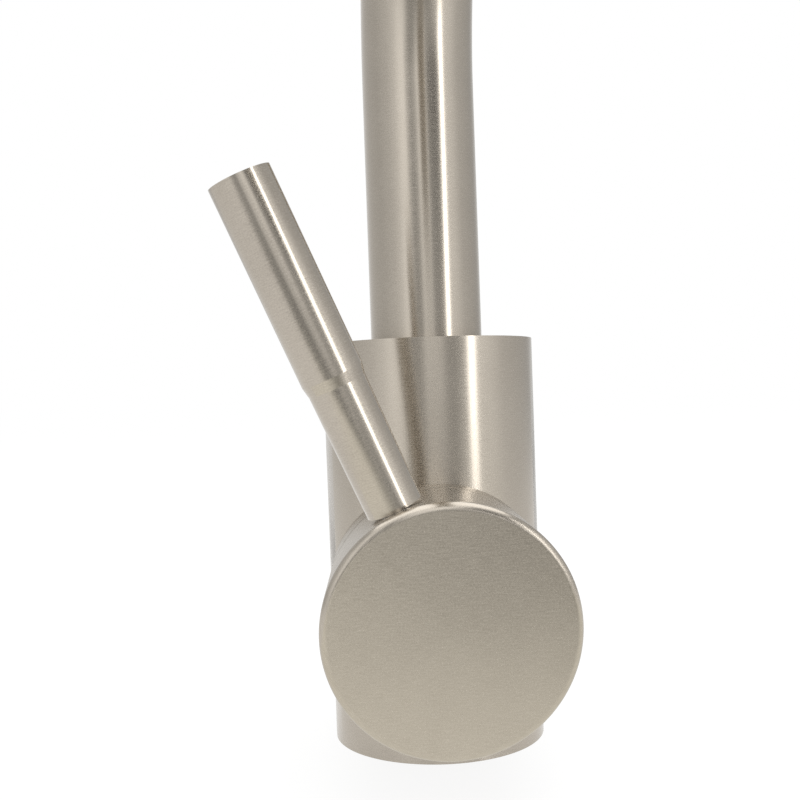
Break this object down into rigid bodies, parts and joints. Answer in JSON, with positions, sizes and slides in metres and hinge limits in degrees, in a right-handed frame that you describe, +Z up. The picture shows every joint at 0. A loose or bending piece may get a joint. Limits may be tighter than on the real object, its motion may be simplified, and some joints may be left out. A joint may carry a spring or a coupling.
{
  "type": "bar faucet",
  "caption": "Deck-mounted single-lever bar faucet: swivelling gooseneck spout on a round column, with a side barrel whose rod lever turns for temperature and tilts for flow.",
  "frame": {"origin": "centre of the column's foot, on the deck", "axes": "+Z up along the column, the barrel and the lever's face towards -Y, +X to the right of a person who faces the lever"},
  "size_m": [0.0638, 0.1602, 0.2217],
  "materials": {
    "brushed_body": "stainless steel, finely brushed round the column and barrel",
    "brushed_tube": "stainless steel tube, finely brushed round the tube",
    "brushed_hub": "stainless steel, brushed round the side and across the face",
    "brushed_lever": "stainless steel rod, finely turned and brushed",
    "polished_dome": "polished stainless steel",
    "bright_steel": "bright stainless steel",
    "brass": "machined brass",
    "copper": "drawn copper pipe",
    "rubber": "black sealing rubber",
    "white_plastic": "white acetal",
    "grey_plastic": "grey cartridge plastic",
    "index_plastic": "small plain plug",
    "ceramic": "lapped ceramic"
  },
  "bodies": {
    "root": {"body_shell": "brushed_body", "inlet_block": "brass", "base_gasket": "rubber", "hot_waterway": "copper", "cold_waterway": "copper", "mixed_waterway": "copper", "valve_chamber": "brass", "spout_socket": "brass", "spout_set_screw": "bright_steel", "upper_glide_ring": "white_plastic", "lower_glide_ring": "white_plastic", "cartridge_base": "grey_plastic", "port_seals": "rubber", "cartridge_housing": "grey_plastic", "fixed_ceramic_disc": "ceramic", "bonnet_nut": "brass", "dome_cover": "polished_dome"},
    "rotor": {"cartridge_rotor": "white_plastic", "stem_pin": "bright_steel"},
    "valve_disc": {"disc_carrier": "white_plastic", "moving_ceramic_disc": "ceramic"},
    "handle": {"stem": "bright_steel", "hub": "brushed_hub", "hub_set_screw": "bright_steel", "index_plug": "index_plastic", "lever_stud": "bright_steel", "lever_rod": "brushed_lever"},
    "spout": {"spout_tube": "brushed_tube", "spout_insert": "brass", "spout_o_rings": "rubber", "outlet_bush": "brass", "aerator_washer": "rubber", "aerator_screen": "bright_steel", "aerator_insert": "white_plastic", "aerator_housing": "bright_steel"}
  },
  "joints": [
    {"name": "temperature_turn", "type": "hinge", "parent": "root", "child": "rotor", "pos_m": [0, -0.028, 0.035], "axis": [0, -1, 0], "range_deg": [-73, 27]},
    {"name": "flow_tilt", "type": "hinge", "parent": "rotor", "child": "handle", "pos_m": [0, -0.028, 0.035], "axis": [0.9205, 0, 0.3907], "range_deg": [0, 20]},
    {"name": "disc_slide", "type": "slide", "parent": "rotor", "child": "valve_disc", "axis": [-0.3907, 0, 0.9205], "range_m": [-0.0001, 0.004]},
    {"name": "spout_swivel", "type": "hinge", "parent": "root", "child": "spout", "pos_m": [0, 0, 0.08], "axis": [0, 0, 1], "continuous": true}
  ],
  "couplings": [
    {"joint": "disc_slide", "follows": "flow_tilt", "m_per_rad": 0.011}
  ]
}
